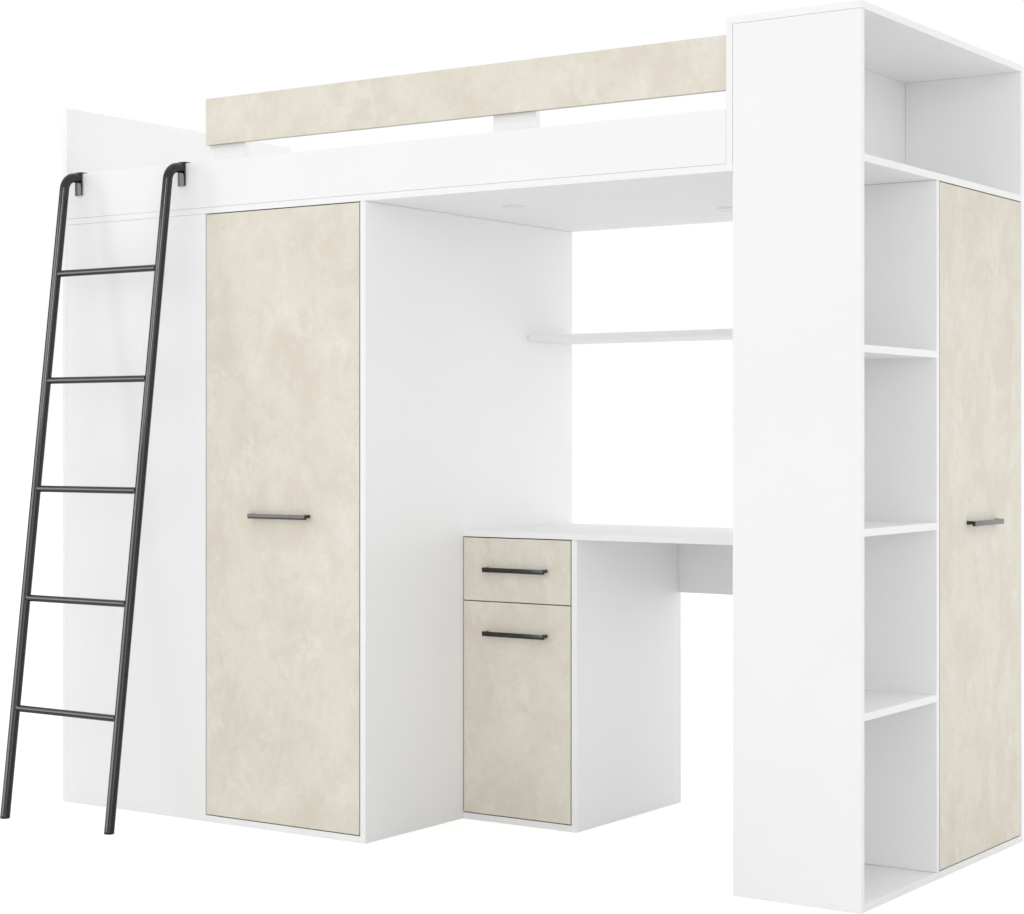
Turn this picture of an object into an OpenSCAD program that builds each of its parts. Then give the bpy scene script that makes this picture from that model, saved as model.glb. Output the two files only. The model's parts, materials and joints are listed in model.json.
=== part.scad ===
// Loft bed with a wardrobe, a desk and a shelf tower underneath it.
// +X runs along the bed from the wardrobe end to the tower, +Y runs to the back and +Z is up.
// The origin is on the floor, at the centre of the whole outline with its ladder and handles.

/* [Boards] */
// Thickness of the melamine boards
board_t = 16; // [14:1:22]
// Thickness of the thin back and bottom boards
thin_t = 3; // [2:0.5:5]

/* [Bed] */
// Clear length between the two ends of the bed
bed_l = 2010; // [1650:10:2450]
// Depth from the front faces to the back faces
bed_d = 960; // [790:10:1200]
// Height of the underside of the bed base
base_z = 1573; // [1310:1:1900]
// Height of the end panels above the bed base
end_rise = 303; // [250:1:400]
// Height of the front and back rails
rail_h = 120; // [90:1:160]
// Height of the guard board
guard_h = 120; // [80:1:150]
// Gap between the front rail and the guard board
guard_gap = 41; // [20:1:75]
// Width of each post behind the guard board
post_w = 120; // [60:5:200]
// Distance from the headboard to the nearer post
post_from_head = 500; // [200:10:700]
// How far the posts stop below the top of the guard board
post_drop = 20; // [5:1:60]
// Height of the battens under the bed base
batten_h = 40; // [20:1:60]

/* [Wardrobe] */
// Width of the fixed front behind the ladder
fixed_w = 504; // [400:1:620]
// Width of the wardrobe door's bay
bay_w = 504; // [380:1:610]
// Width of the stile behind the fixed front
stile_w = 60; // [30:1:120]
// Distance from the bed base down to the top of the hat shelf
hat_drop = 230; // [150:5:400]
// Depth of the hat shelf
hat_d = 540; // [300:10:640]
// Distance from the hat shelf down to the clothes rail's axis
clothes_drop = 60; // [40:5:100]
// Radius of the clothes rail
clothes_r = 12.5; // [10:0.5:16]

/* [Desk] */
// Height of the desk's working surface
desk_h = 752; // [620:1:910]
// Depth of the desk
desk_d = 540; // [450:10:640]
// Clear width of the desk cabinet
cab_w = 332; // [280:1:420]
// Height of the drawer's front with its gaps
drawer_h = 166.5; // [140:0.5:220]
// Depth of the stretcher between the drawer and the door
stretcher_d = 80; // [40:5:150]
// Height of the modesty panel at the back of the desk
modesty_h = 163; // [80:1:300]
// Distance from the underside of the bed base down to the top of the wall shelf
wall_shelf_drop = 301; // [240:1:420]
// Depth of the shelf over the desk
wall_shelf_d = 230; // [150:5:400]

/* [Drawer] */
// Thickness of the drawer box's boards
box_t = 12; // [10:1:16]
// Height of the drawer box
box_h = 100; // [70:5:110]
// Depth of the drawer box behind its front
box_d = 400; // [300:10:450]
// Space for a runner on each side of the drawer box
runner_gap = 13; // [12.5:0.1:16]
// Height of the runner's channel
runner_h = 35; // [27:1:45]
// Thickness of the runner's sheet metal
runner_t = 1.5; // [1:0.1:2]

/* [Tower] */
// Width of the tower along the bed
tower_w = 300; // [250:5:400]
// Clear width of the open bookcase
book_w = 392; // [320:1:480]
// Clear height of the bookcase's lowest and highest bays
end_bay_h = 384; // [250:1:450]

/* [Doors] */
// Gap around each inset door and drawer front
door_gap = 2.5; // [1.5:0.5:4]
// Radius of the hinge cups
cup_r = 17.5; // [13:0.5:17.5]
// Depth of the hinge cups' bores
cup_depth = 11.5; // [9:0.5:12]
// Distance from a door's edge to the centre of a hinge cup
cup_inset = 21.5; // [20:0.5:26]
// Distance from a tall door's ends to its outer hinges
hinge_end = 110; // [80:5:160]
// Number of hinges on each tall door
tall_hinges = 4; // [3:1:5]

/* [Handles] */
// Length of the handles
handle_l = 190; // [120:1:260]
// Height of a handle's bar
handle_h = 12; // [10:1:20]
// Thickness of a handle's bar
handle_t = 4; // [3:0.5:6]
// How far the handles stand out
handle_out = 20; // [18:1:30]
// Width of a handle's legs
leg_w = 10; // [8:1:16]
// Height of a handle's legs
leg_h = 8; // [7:0.5:12]
// Distance from the top of the desk door to its handle's centre
desk_handle_drop = 81; // [40:1:200]

/* [Ladder] */
// Distance from the outer left face to the left rail's axis
ladder_x = 64; // [40:1:100]
// Distance between the two rails' axes
ladder_w = 375; // [320:1:400]
// Outer radius of the ladder's tubes
tube_r = 12.75; // [10:0.25:16]
// Wall of the ladder's tubes
tube_wall = 1.5; // [1:0.5:2.5]
// Lean of the ladder from upright
lean = 7.35; // [5:0.05:15]
// Radius of the bend at the top, at the tube's axis
bend_r = 38; // [28:1:60]
// Level stretch of the tubes between their hooks and the bend
level_run = 14; // [5:1:30]
// Radius of the rungs
rung_r = 8.8; // [7:0.2:11]
// Number of rungs
rung_count = 5; // [4:1:7]
// Height of the lowest rung
rung_first = 284; // [220:1:340]
// Distance from the top of the front rail down to the highest rung
rung_top_drop = 277; // [220:1:350]
// Height of the foot plugs
foot_h = 6; // [4:1:20]
// Width of the hooks
hook_w = 25; // [22:1:40]
// Thickness of the hooks
hook_t = 4; // [3:0.5:6]
// How far a hook reaches down in front of the rail
hook_front = 59; // [40:1:80]
// How far a hook reaches down behind the rail
hook_back = 40; // [25:1:70]
// Clearance between a hook and each face of the rail
hook_clear = 0.5; // [0.3:0.1:1.5]

/* [Lights] */
// Radius of the lights under the bed
light_r = 28; // [20:1:40]
// Thickness of the lights
light_t = 4; // [3:0.5:10]
// Place of the left light from the wardrobe's side and the front
light_left = [231, 307]; // [150:1:400]
// Place of the right light from the tower and the back
light_right = [355, 300]; // [150:1:400]

/* [Hardware] */
// Radius of the cam locks
cam_r = 7.5; // [6:0.5:9]
// Depth of the cam locks
cam_h = 12; // [10:0.5:12.5]
// Distance from a board's end to its cam locks
cam_in = 34; // [24:1:50]
// Radius of the cam locks' bolts
bolt_r = 3; // [2.5:0.1:3.5]
// How far a bolt enters the next board
bolt_in = 10; // [8:0.5:11]
// Radius of the shelf pins
pin_r = 2.5; // [2:0.1:3]
// How far a shelf pin enters its board
pin_in = 7; // [5:0.5:8]
// How far a shelf pin stands out under its shelf
pin_out = 8; // [6:0.5:10]
// Clearance around bolts, pins, cups and cams in their bores
fit = 0.1; // [0.05:0.05:0.3]

/* [Hidden] */
$fn = 48;

// Bought hardware: screws, hinges, sockets
screw_r = 2;
screw_head_r = 4;
screw_head_h = 2.3;
screw_out = 9;
screw_play = 0.3;
slot_w = 1;
cup_wall = 1.4;
flange_t = 1.2;
flange = [12, 58];
flange_screw_z = 24;
flange_rim = 2;
plate_t = 2.5;
plate_y = [22, 58];
plate_half = 8;
wing_y = [30, 44];
wing_half = 24;
arm_x = [-12, -2];
arm_y = [6, 64];
arm_half = 6.5;
link_t = 4;
link_y = [2.2, 9];
link_half = 5;
arm_screws_y = [26, 54];
arm_screw_r = 2.8;
plate_screw_z = 17;
plate_screw_r = 2.6;
rim_screw_r = 1.8;
socket_t = 3;
socket_rim = 8;
socket_wall = 2;
socket_l = 14;
clothes_wall = 1.2;
cam_cross = [cam_r * 1.3, 1.6, 4];

// How far a cutting shape reaches past the face that it opens
past = 1;

WHITE = "whitesmoke";
STONE = "wheat";
BLACK = "dimgray";
STEEL = "silver";

// Faces along X, counted from the outer left face
x_in = board_t;
x_bay = x_in + fixed_w;
x_side = x_bay + bay_w;
x_desk = x_side + board_t;
x_cab = x_desk + cab_w;
x_knee = x_cab + board_t;
x_head = x_in + bed_l;
x_tower = x_head + board_t;
x_wall = x_tower + board_t;
x_end = x_tower + tower_w;

// Faces along Y, counted from the front faces
y_in = board_t;
y_back = bed_d - board_t;
y_desk = bed_d - desk_d;
y_thin = y_back - thin_t;
y_book = board_t + book_w;
y_cup = y_book + board_t;

// Faces along Z, counted from the floor
z_in = board_t;
z_bed = base_z + board_t;
z_rail = z_bed + rail_h;
z_guard = z_rail + guard_gap;
z_top = z_bed + end_rise;
z_desk = desk_h - board_t;
z_drawer = z_desk - drawer_h;
z_hat = base_z - hat_drop - board_t;
z_clothes = z_hat - clothes_drop;
clothes_y = y_thin - hat_d / 2;

// Doors and the drawer front sit inside their bays by the door gap on every side
ward_door = [[x_bay + door_gap, x_side - door_gap], [z_in + door_gap, base_z - door_gap]];
desk_door_span = [[x_desk + door_gap, x_cab - door_gap], [z_in + door_gap, z_drawer - door_gap / 2]];
front_span = [[x_desk + door_gap, x_cab - door_gap], [z_drawer + door_gap / 2, z_desk - door_gap]];
tower_door_span = [[y_cup + door_gap, y_back - door_gap], [z_in + door_gap, base_z - door_gap]];

// Room round loose shelves, and behind a closed door
shelf_play = 0.5;
behind_door = 2;

// Drawer box and its runners
box_x = [x_desk + runner_gap, x_cab - runner_gap];
box_y = y_desk + board_t;
box_rise = 30;
box_z = front_span[1][0] + box_rise;
groove_up = 10;
groove_in = 6;
runner_z = box_z + box_h / 2;
slide_gap = 0.8;
channel_w = runner_gap - 3.5;

// Shelves of the tower, from the lowest to the highest
book_low = z_in + end_bay_h;
book_high = base_z - end_bay_h - board_t;
book_z = [book_low, (book_low + book_high) / 2, book_high];
cupboard_gap = 10;
cupboard_end = x_end - board_t - cupboard_gap;
desk_shelf_z = z_in + (z_drawer - z_in) / 2;
wall_shelf_z = base_z - wall_shelf_drop - board_t;

// Ladder: the tube leaves the hook level, bends down and runs straight to the floor
tube_z = z_rail - tube_r;
bend_y = -hook_clear - hook_t - level_run;
bend_z = tube_z - bend_r;
straight_y = bend_y - bend_r * cos(lean);
straight_z = bend_z + bend_r * sin(lean);
foot_y = straight_y - straight_z * tan(lean);
// Hair's gap under the bend, so that the straight tube and the bend stay two bodies at every size
rail_parting = 0.01;
rung_last = z_rail - rung_top_drop;
rung_z = [for (i = [0:rung_count - 1]) rung_first + i * (rung_last - rung_first) / (rung_count - 1)];
rail_xs = [ladder_x, ladder_x + ladder_w];
plug_l = 20;
foot_half = 60;
function rail_y(z) = foot_y + z * tan(lean);

// The lights' rim, the well inside it, and the lens in the well
light_rim = 4;
light_well = 2;
lens_t = 1.5;

// The outline's centre, which becomes the origin
outline_front = foot_y - tube_r / cos(lean);
mid_x = (x_end + handle_out) / 2;
mid_y = (outline_front + bed_d) / 2;

// Turns that take +Z to each direction
UP = [0, 0, 0];
DOWN = [180, 0, 0];
BACK = [-90, 0, 0];
FRONT = [90, 0, 0];
RIGHT = [0, 90, 0];
LEFT = [0, -90, 0];

// Cam locks: where each one's mouth is, the way it faces and the way its bolt runs
cam_play = 0.5;
bolt_start = 2;
function level_cams(x, y, z, face) = [
    for (a = y) each [
        [[x[0] + cam_in, a, z], face, LEFT],
        [[x[1] - cam_in, a, z], face, RIGHT]
    ]
];
function upright_cams(x, y, z, face) = [
    for (a = z) each [
        [[x[0] + cam_in, y, a], face, LEFT],
        [[x[1] - cam_in, y, a], face, RIGHT]
    ]
];
function cross_cams(x, y, z, face) = [
    for (a = x) each [
        [[a, y[0] + cam_in, z], face, FRONT],
        [[a, y[1] - cam_in, z], face, BACK]
    ]
];
row_in = 0.25;
rail_rows = [z_bed + rail_h * row_in, z_rail - rail_h * row_in];
modesty_rows = [z_desk - modesty_h * (1 - row_in), z_desk - modesty_h * row_in];
far_in = 150;
side_in = 60;
deep_in = 100;
front_rows = [far_in, base_z / 2, base_z - far_in];
tower_cols = [x_wall + side_in, x_end - side_in];
rail_cams = upright_cams([x_in, x_head], y_in, rail_rows, BACK);
back_rail_cams = upright_cams([x_in, x_head], y_back, rail_rows, FRONT);
ward_bottom_cams = level_cams([x_in, x_side], [side_in, y_thin - side_in], 0, DOWN);
desk_top_cams = level_cams([x_desk, x_tower], [y_desk + side_in, bed_d - side_in], z_desk, DOWN);
desk_bottom_cams = level_cams([x_desk, x_cab], [y_desk + side_in, y_thin - deep_in], 0, DOWN);
wall_shelf_cams = level_cams(
    [x_desk, x_tower], [bed_d - wall_shelf_d + side_in, bed_d - side_in], wall_shelf_z + board_t, UP
);
modesty_cams = upright_cams([x_knee, x_tower], bed_d, modesty_rows, BACK);
fixed_cams = [for (z = front_rows) [[x_in + cam_in, y_in, z], BACK, LEFT]];
tower_bottom_cams = cross_cams(tower_cols, [y_in, y_back], 0, DOWN);
middle_cams = cross_cams(tower_cols, [y_in, y_back], z_bed, UP);
tower_side_cams = concat(tower_bottom_cams, middle_cams);
book_cams = [
    for (i = [0:2]) each cross_cams(
        tower_cols, [y_in, y_book], i < 2 ? book_z[i] : book_z[i] + board_t, i < 2 ? DOWN : UP
    )
];
all_cams = concat(
    rail_cams, back_rail_cams, ward_bottom_cams, desk_top_cams, desk_bottom_cams, wall_shelf_cams,
    modesty_cams, fixed_cams, tower_bottom_cams, middle_cams, book_cams
);

// Shelf pins: the point on the board's face, and the way the pin stands out of it
pin_side = 36;
hat_pins = [for (y = [y_thin - hat_d + side_in, y_thin - side_in]) each [
    [[x_in, y, z_hat - pin_r], RIGHT],
    [[x_side, y, z_hat - pin_r], LEFT]
]];
desk_pins = [for (y = [y_desk + board_t + side_in, y_thin - side_in]) each [
    [[x_desk, y, desk_shelf_z - pin_r], RIGHT],
    [[x_cab, y, desk_shelf_z - pin_r], LEFT]
]];
cupboard_pins = [for (z = book_z) for (x = [x_wall + pin_side, cupboard_end - pin_side]) each [
    [[x, y_cup, z - pin_r], BACK],
    [[x, y_back, z - pin_r], FRONT]
]];
all_pins = concat(hat_pins, desk_pins, cupboard_pins);

// Hinges: heights on each door
function tall_hinge_rows(z) = [
    for (i = [0:tall_hinges - 1]) z[0] + hinge_end + i * (z[1] - z[0] - 2 * hinge_end) / (tall_hinges - 1)
];
ward_hinges = tall_hinge_rows(ward_door[1]);
tower_hinges = tall_hinge_rows(tower_door_span[1]);
short_hinge_end = 80;
desk_hinges = [desk_door_span[1][0] + short_hinge_end, desk_door_span[1][1] - short_hinge_end];

// Handle centres: along the door, and up
ward_handle = [(ward_door[0][0] + ward_door[0][1]) / 2, (ward_door[1][0] + ward_door[1][1]) / 2];
desk_handle = [(x_desk + x_cab) / 2, desk_door_span[1][1] - desk_handle_drop];
drawer_handle_at = [(x_desk + x_cab) / 2, (front_span[1][0] + front_span[1][1]) / 2];
tower_handle = [(y_cup + y_back) / 2, (tower_door_span[1][0] + tower_door_span[1][1]) / 2];

// ---------- shared shapes ----------

// Moves a shape from the outer left front corner to the outline's centre
module placed() {
    translate([-mid_x, -mid_y, 0]) children();
}

module block(x, y, z) {
    translate([x[0], y[0], z[0]]) cube([x[1] - x[0], y[1] - y[0], z[1] - z[0]]);
}

module cam_cuts(cams) {
    for (c = cams) {
        translate(c[0]) rotate(c[1]) translate([0, 0, -cam_h - cam_play])
            cylinder(r = cam_r + fit, h = cam_h + cam_play + past);
    }
    bolt_cuts(cams);
}

module along_bolt(c) {
    translate(c[0]) rotate(c[1]) translate([0, 0, -board_t / 2]) rotate([for (a = c[1]) -a]) rotate(c[2])
        children();
}

module bolt_cuts(cams) {
    for (c = cams) along_bolt(c) cylinder(r = bolt_r + fit, h = cam_in + bolt_in + past);
}

module pin_cuts(pins) {
    for (p = pins) {
        translate(p[0]) rotate(p[1]) translate([0, 0, -pin_in - cam_play])
            cylinder(r = pin_r + fit, h = pin_in + cam_play + past);
    }
}

// Bores in a door that lies in the XZ plane with its back face at y = board_t
module door_bores(hinge_x, rows, handle) {
    for (z = rows) {
        translate([hinge_x, board_t - cup_depth, z]) rotate(BACK) cylinder(r = cup_r, h = cup_depth + past);
    }
    handle_bores(handle);
}

module handle_bores(handle) {
    translate([handle[0], 0, handle[1] + (handle_h - leg_h) / 2])
        for (s = [-1, 1]) translate([s * (handle_l - leg_w) / 2, 0, 0]) {
        translate([0, -past, 0]) rotate(BACK) cylinder(r = screw_r + screw_play, h = board_t + 2 * past);
        translate([0, board_t - screw_head_h - screw_play, 0]) rotate(BACK)
            cylinder(r = screw_head_r + screw_play, h = screw_head_h + past);
    }
}

// A bar handle with two legs, in front of the plane y = 0, centred on the origin
module handle() {
    leg_z = [handle_h / 2 - leg_h, handle_h / 2];
    difference() {
        union() {
            translate([0, 0, -handle_h / 2]) linear_extrude(handle_h) handle_bar();
            for (s = [-1, 1]) {
                mid = s * (handle_l - leg_w) / 2;
                block([mid - leg_w / 2, mid + leg_w / 2], [handle_t - handle_out - past, 0], leg_z);
            }
        }
        for (s = [-1, 1]) translate([s * (handle_l - leg_w) / 2, past, (handle_h - leg_h) / 2]) {
            rotate(FRONT) cylinder(r = screw_r + fit, h = screw_out + 2 * past);
        }
    }
}

// Outline of a handle's bar from above, with rounded outer corners
module handle_bar() {
    corner = handle_t * 7 / 8;
    half = handle_l / 2;
    translate([-half, corner - handle_out]) square([handle_l, handle_t - corner]);
    translate([corner - half, -handle_out]) square([handle_l - 2 * corner, handle_t]);
    for (s = [-1, 1]) translate([s * (half - corner), corner - handle_out]) circle(r = corner);
}

// Two countersunk screws that hold a handle from behind its board
module handle_screws() {
    for (s = [-1, 1]) translate([s * (handle_l - leg_w) / 2, 0, (handle_h - leg_h) / 2]) {
        difference() {
            union() {
                translate([0, -screw_out, 0]) rotate(BACK)
                    cylinder(r = screw_r, h = screw_out + board_t - past);
                translate([0, board_t - screw_head_h - fit, 0]) rotate(BACK)
                    cylinder(r = screw_head_r, h = screw_head_h);
            }
            for (a = [0, 90]) translate([0, board_t, 0]) rotate([0, a, 0])
                cube([screw_head_r, screw_head_h, slot_w], center = true);
        }
    }
}

// A hinge cup with its flange, on a door whose back face is y = board_t
module hinge_cup() {
    translate([0, board_t, 0]) rotate(BACK) difference() {
        union() {
            translate([0, 0, fit - cup_depth]) cylinder(r = cup_r - fit, h = cup_depth + flange_t - fit);
            linear_extrude(flange_t) {
                circle(r = cup_r + flange_rim);
                square(flange, center = true);
            }
        }
        translate([0, 0, cup_wall - cup_depth]) cylinder(r = cup_r - cup_wall, h = cup_depth + past);
        for (s = [-1, 1]) translate([0, s * flange_screw_z, -past]) cylinder(r = rim_screw_r, h = 4);
    }
}

// A hinge arm on its mounting plate; the board's face is x = 0 and the door's back face is y = 0
module hinge_arm() {
    reach = cup_inset + door_gap;
    difference() {
        union() {
            block([-plate_t, 0], plate_y, [-plate_half, plate_half]);
            block([-plate_t, 0], wing_y, [-wing_half, wing_half]);
            block(arm_x, arm_y, [-arm_half, arm_half]);
            block([-reach, -link_t], link_y, [-link_half, link_half]);
        }
        for (y = arm_screws_y) translate([arm_x[0] - past, y, 0]) rotate(RIGHT)
            cylinder(r = arm_screw_r, h = 5);
        for (s = [-1, 1]) translate([-plate_t - past, (wing_y[0] + wing_y[1]) / 2, s * plate_screw_z])
            rotate(RIGHT) cylinder(r = plate_screw_r, h = past + plate_t / 2);
    }
}

// ---------- bed ----------

module left_end_panel() color(WHITE) placed() difference() {
    block([0, x_in], [0, bed_d], [0, z_top]);
    bolt_cuts(concat(rail_cams, back_rail_cams, ward_bottom_cams, fixed_cams));
    pin_cuts(hat_pins);
}

module bed_base_board() color(WHITE) placed() {
    block([x_in, x_tower], [0, bed_d], [base_z, z_bed]);
}

module front_rail() color(WHITE) placed() difference() {
    block([x_in, x_head], [0, y_in], [z_bed, z_rail]);
    cam_cuts(rail_cams);
}

module back_rail() color(WHITE) placed() difference() {
    block([x_in, x_head], [y_back, bed_d], [z_bed, z_rail]);
    cam_cuts(back_rail_cams);
}

module headboard_panel() color(WHITE) placed() difference() {
    block([x_head, x_tower], [0, bed_d], [z_bed, z_top]);
    bolt_cuts(concat(rail_cams, back_rail_cams));
}

module guard_board() color(STONE) placed() {
    block([x_bay, x_head], [0, y_in], [z_guard, z_guard + guard_h]);
}

module guard_posts() color(WHITE) placed() {
    for (x = [x_bay, x_head - post_from_head - post_w]) {
        block([x, x + post_w], [y_in, y_in + board_t], [z_bed, z_guard + guard_h - post_drop]);
    }
}

module base_battens() color(WHITE) placed() {
    for (x = [x_in, x_head]) {
        block([x, x + board_t], [deep_in, y_thin - side_in], [base_z - batten_h, base_z]);
    }
}

// ---------- wardrobe ----------

module wardrobe_bottom() color(WHITE) placed() difference() {
    block([x_in, x_side], [0, bed_d], [0, z_in]);
    cam_cuts(ward_bottom_cams);
}

module wardrobe_side() color(WHITE) placed() difference() {
    block([x_side, x_desk], [0, bed_d], [0, base_z]);
    bolt_cuts(concat(ward_bottom_cams, desk_top_cams, desk_bottom_cams, wall_shelf_cams));
    pin_cuts(concat(hat_pins, desk_pins));
}

module wardrobe_fixed_front() color(WHITE) placed() difference() {
    block([x_in, x_bay], [0, y_in], [z_in, base_z]);
    cam_cuts(fixed_cams);
}

module wardrobe_stile() color(WHITE) placed() {
    block([x_bay - board_t, x_bay], [y_in, y_in + stile_w], [z_in, base_z]);
}

module wardrobe_back() color(WHITE) placed() {
    block([x_in, x_side], [y_thin, y_back], [z_in, base_z]);
}

module hat_shelf() color(WHITE) placed() {
    block([x_in + shelf_play, x_side - shelf_play], [y_thin - hat_d, y_thin], [z_hat, z_hat + board_t]);
}

module clothes_rail() color(STEEL) placed() difference() {
    translate([x_in + socket_t, clothes_y, z_clothes]) rotate(RIGHT)
        cylinder(r = clothes_r, h = x_side - x_in - 2 * socket_t);
    translate([x_in, clothes_y, z_clothes]) rotate(RIGHT)
        cylinder(r = clothes_r - clothes_wall, h = x_side - x_in);
}

module clothes_rail_sockets() color(STEEL) placed() {
    for (e = [[x_in, RIGHT], [x_side, LEFT]]) translate([e[0], clothes_y, z_clothes]) rotate(e[1]) {
        difference() {
            union() {
                cylinder(r = clothes_r + socket_rim, h = socket_t);
                cylinder(r = clothes_r + socket_wall, h = socket_l);
            }
            translate([0, 0, socket_t]) cylinder(r = clothes_r + fit, h = socket_l);
            for (s = [-1, 1]) translate([0, s * (clothes_r + (socket_wall + socket_rim) / 2), -past])
                cylinder(r = rim_screw_r, h = socket_t + 2 * past);
        }
    }
}

// ---------- desk ----------

module desk_top() color(WHITE) placed() difference() {
    block([x_desk, x_tower], [y_desk, bed_d], [z_desk, desk_h]);
    cam_cuts(desk_top_cams);
}

module desk_side() color(WHITE) placed() difference() {
    block([x_cab, x_knee], [y_desk, bed_d], [0, z_desk]);
    bolt_cuts(concat(desk_bottom_cams, modesty_cams));
    pin_cuts(desk_pins);
}

module desk_bottom() color(WHITE) placed() difference() {
    block([x_desk, x_cab], [y_desk, bed_d], [0, z_in]);
    cam_cuts(desk_bottom_cams);
}

module desk_back() color(WHITE) placed() {
    block([x_desk, x_cab], [y_thin, y_back], [z_in, z_desk]);
}

module desk_stretcher() color(WHITE) placed() {
    low = z_drawer - board_t / 2;
    front = y_desk + board_t + behind_door;
    block([x_desk, x_cab], [front, front + stretcher_d], [low, low + board_t]);
}

module desk_shelf() color(WHITE) placed() {
    block(
        [x_desk + shelf_play, x_cab - shelf_play], [y_desk + board_t + cupboard_gap, y_thin - shelf_play],
        [desk_shelf_z, desk_shelf_z + board_t]
    );
}

module modesty_panel() color(WHITE) placed() difference() {
    block([x_knee, x_tower], [y_back, bed_d], [z_desk - modesty_h, z_desk]);
    cam_cuts(modesty_cams);
}

module wall_shelf() color(WHITE) placed() difference() {
    block([x_desk, x_tower], [bed_d - wall_shelf_d, bed_d], [wall_shelf_z, wall_shelf_z + board_t]);
    cam_cuts(wall_shelf_cams);
}

// ---------- tower ----------

module tower_front_panel() color(WHITE) placed() difference() {
    block([x_tower, x_end], [0, y_in], [0, z_top]);
    bolt_cuts(concat(tower_side_cams, book_cams));
}

module tower_back_panel() color(WHITE) placed() difference() {
    block([x_tower, x_end], [y_back, bed_d], [0, z_top]);
    bolt_cuts(concat(tower_side_cams, modesty_cams));
    pin_cuts(cupboard_pins);
}

module tower_top() color(WHITE) placed() {
    block([x_head, x_end], [0, bed_d], [z_top, z_top + board_t]);
}

module tower_bottom() color(WHITE) placed() difference() {
    block([x_tower, x_end], [y_in, y_back], [0, z_in]);
    cam_cuts(tower_bottom_cams);
}

module tower_middle_shelf() color(WHITE) placed() difference() {
    block([x_tower, x_end], [y_in, y_back], [base_z, z_bed]);
    cam_cuts(middle_cams);
}

module tower_partition() color(WHITE) placed() difference() {
    block([x_wall, x_end], [y_book, y_cup], [z_in, base_z]);
    bolt_cuts(book_cams);
    pin_cuts(cupboard_pins);
}

module tower_inner_wall() color(WHITE) placed() difference() {
    block([x_tower, x_wall], [y_in, y_back], [z_in, base_z]);
    bolt_cuts(concat(desk_top_cams, wall_shelf_cams));
}

module bookcase_shelves() color(WHITE) placed() difference() {
    for (z = book_z) block([x_wall, x_end], [y_in, y_book], [z, z + board_t]);
    cam_cuts(book_cams);
}

module cupboard_shelves() color(WHITE) placed() {
    for (z = book_z) block(
        [x_wall + shelf_play, cupboard_end], [y_cup + shelf_play, y_back - shelf_play], [z, z + board_t]
    );
}

// ---------- fixed hardware ----------

module runner_channels() color(STEEL) placed() {
    for (side = [[x_desk, 1], [x_cab, -1]]) translate([side[0], box_y + behind_door, runner_z])
        mirrored(side[1]) difference() {
            block([0, channel_w], [0, box_d - behind_door], [-runner_h / 2, runner_h / 2]);
            block(
                [runner_t, runner_gap], [-past, box_d],
                [runner_t - runner_h / 2, runner_h / 2 - runner_t]
            );
        }
}

// Mirrors a shape along X when the side is -1
module mirrored(side) {
    mirror([side < 0 ? 1 : 0, 0, 0]) children();
}

module shelf_pins() color(STEEL) placed() {
    for (p = all_pins) translate(p[0]) rotate(p[1]) {
        translate([0, 0, -pin_in]) cylinder(r = pin_r, h = pin_in + pin_out);
    }
}

module cam_locks() color(STEEL) placed() {
    for (c = all_cams) {
        difference() {
            translate(c[0]) rotate(c[1]) difference() {
                translate([0, 0, -cam_h]) cylinder(r = cam_r, h = cam_h - cam_play);
                for (a = [0, 90]) rotate([0, 0, a]) cube(cam_cross, center = true);
            }
            along_bolt(c) cylinder(r = bolt_r + fit, h = cam_in);
        }
    }
}

module cam_bolts() color(STEEL) placed() {
    for (c = all_cams) along_bolt(c) {
        translate([0, 0, bolt_start]) cylinder(r = bolt_r, h = cam_in - bolt_start + bolt_in);
    }
}

module hinge_arms() color(STEEL) placed() {
    for (z = ward_hinges) translate([x_side, y_in, z]) hinge_arm();
    for (z = desk_hinges) translate([x_cab, y_desk + board_t, z]) hinge_arm();
    for (z = tower_hinges) translate([x_end - board_t, y_back, z]) rotate([0, 0, 90]) hinge_arm();
}

module light_spots() {
    translate([x_desk + light_left[0], light_left[1], base_z]) children();
    translate([x_tower - light_right[0], bed_d - light_right[1], base_z]) children();
}

module light_bodies() color(WHITE) placed() light_spots() difference() {
    translate([0, 0, -light_t]) cylinder(r = light_r, h = light_t);
    translate([0, 0, -light_t - past]) cylinder(r = light_r - light_rim, h = light_well + past);
}

module light_lenses() color("white") placed() light_spots() {
    translate([0, 0, light_well - lens_t - light_t]) cylinder(r = light_r - light_rim - fit, h = lens_t);
}

// ---------- doors ----------

module wardrobe_door() color(STONE) placed() difference() {
    block(ward_door[0], [0, board_t], ward_door[1]);
    door_bores(ward_door[0][1] - cup_inset, ward_hinges, ward_handle);
}

module wardrobe_door_handle() color(BLACK) placed() {
    translate([ward_handle[0], 0, ward_handle[1]]) handle();
}

module wardrobe_door_fittings() color(STEEL) placed() {
    for (z = ward_hinges) translate([ward_door[0][1] - cup_inset, 0, z]) hinge_cup();
    translate([ward_handle[0], 0, ward_handle[1]]) handle_screws();
}

module desk_door() color(STONE) placed() translate([0, y_desk, 0]) difference() {
    block(desk_door_span[0], [0, board_t], desk_door_span[1]);
    door_bores(desk_door_span[0][1] - cup_inset, desk_hinges, desk_handle);
}

module desk_door_handle() color(BLACK) placed() {
    translate([desk_handle[0], y_desk, desk_handle[1]]) handle();
}

module desk_door_fittings() color(STEEL) placed() translate([0, y_desk, 0]) {
    for (z = desk_hinges) translate([desk_door_span[0][1] - cup_inset, 0, z]) hinge_cup();
    translate([desk_handle[0], 0, desk_handle[1]]) handle_screws();
}

// The tower's door faces +X: its pieces are drawn facing the front, then turned
module facing_right() {
    translate([x_end, 0, 0]) rotate([0, 0, 90]) children();
}

module tower_door() color(STONE) placed() facing_right() difference() {
    block(tower_door_span[0], [0, board_t], tower_door_span[1]);
    door_bores(tower_door_span[0][1] - cup_inset, tower_hinges, tower_handle);
}

module tower_door_handle() color(BLACK) placed() facing_right() {
    translate([tower_handle[0], 0, tower_handle[1]]) handle();
}

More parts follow.
